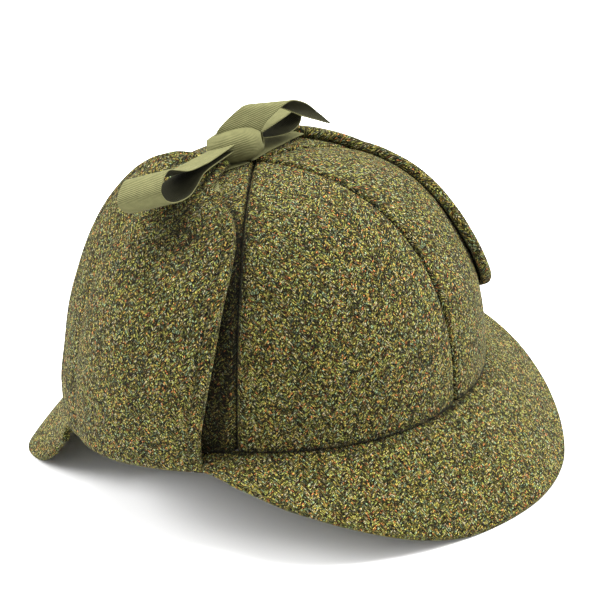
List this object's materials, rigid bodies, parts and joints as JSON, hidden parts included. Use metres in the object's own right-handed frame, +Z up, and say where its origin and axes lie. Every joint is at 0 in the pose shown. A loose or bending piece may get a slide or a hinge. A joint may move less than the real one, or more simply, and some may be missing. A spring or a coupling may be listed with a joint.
{
  "type": "deerstalker hat",
  "caption": "Tweed deerstalker hat with a panelled crown, a peak at the front and back, and ear flaps tied up over the top with a ribbon bow.",
  "frame": {"origin": "on the surface that the hat stands on, under the middle of its bounding box", "axes": "+Z up; the wearer faces -Y, so the front peak is at -Y; the wearer's left is +X"},
  "size_m": [0.1968, 0.2526, 0.1653],
  "materials": {
    "tweed": "matt wool tweed, olive brown herringbone with coloured flecks",
    "ribbon": "matt ribbed ribbon, sage green"
  },
  "bodies": {
    "root": {"crown_front_left": "tweed", "crown_side_left": "tweed", "crown_back_left": "tweed", "crown_back_right": "tweed", "crown_side_right": "tweed", "crown_front_right": "tweed", "front_peak": "tweed", "back_peak": "tweed", "ear_flap_right": "tweed", "ear_flap_left": "tweed", "tie_right": "ribbon", "tie_left": "ribbon", "bow_knot": "ribbon", "bow_loop_right": "ribbon", "bow_loop_left": "ribbon", "bow_tail": "ribbon"}
  },
  "joints": []
}
